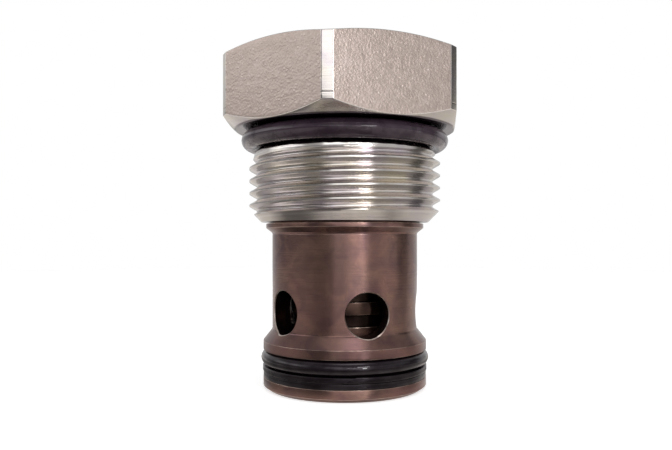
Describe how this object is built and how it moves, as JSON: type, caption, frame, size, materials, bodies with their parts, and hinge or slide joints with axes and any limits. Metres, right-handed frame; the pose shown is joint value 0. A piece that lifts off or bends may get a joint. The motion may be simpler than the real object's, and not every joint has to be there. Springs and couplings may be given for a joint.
{
  "type": "cartridge valve",
  "caption": "Screw-in check cartridge: hexagon plug with threaded shank and O-ring seal, ported sleeve, spring-closed poppet inside, and nose seals.",
  "frame": {"origin": "centre of the nose end face, which is the bottom centre of the bounding box", "axes": "+Z along the valve's axis from the nose to the hexagon; +X out of one hexagon flat, so a hexagon corner faces -Y"},
  "size_m": [0.0382, 0.043, 0.0571],
  "materials": {
    "zinc_plate": "bright zinc plating over forged and turned steel",
    "brown_phosphate": "brown oiled phosphate on turned steel",
    "poppet_steel": "brown oiled phosphate on ground steel",
    "spring_steel": "bright drawn wire",
    "shim_steel": "satin",
    "black_rubber": "oiled satin",
    "nose_rubber": "oiled satin",
    "black_backup": "satin",
    "black_backup_lower": "satin"
  },
  "bodies": {
    "valve_body": {"hex_body": "zinc_plate", "cage": "brown_phosphate", "thread_o_ring": "black_rubber", "nose_o_ring": "nose_rubber", "nose_backup_ring_upper": "black_backup", "nose_backup_ring_lower": "black_backup_lower", "preload_shim": "shim_steel", "spring": "spring_steel"},
    "poppet": {"poppet": "poppet_steel"}
  },
  "joints": [
    {"name": "poppet_lift", "type": "slide", "parent": "valve_body", "child": "poppet", "axis": [0, 0, 1], "range_m": [0, 0.0045], "stiffness_N_per_m": 2200, "springref_m": -0.0045, "deforming": ["spring"]}
  ]
}
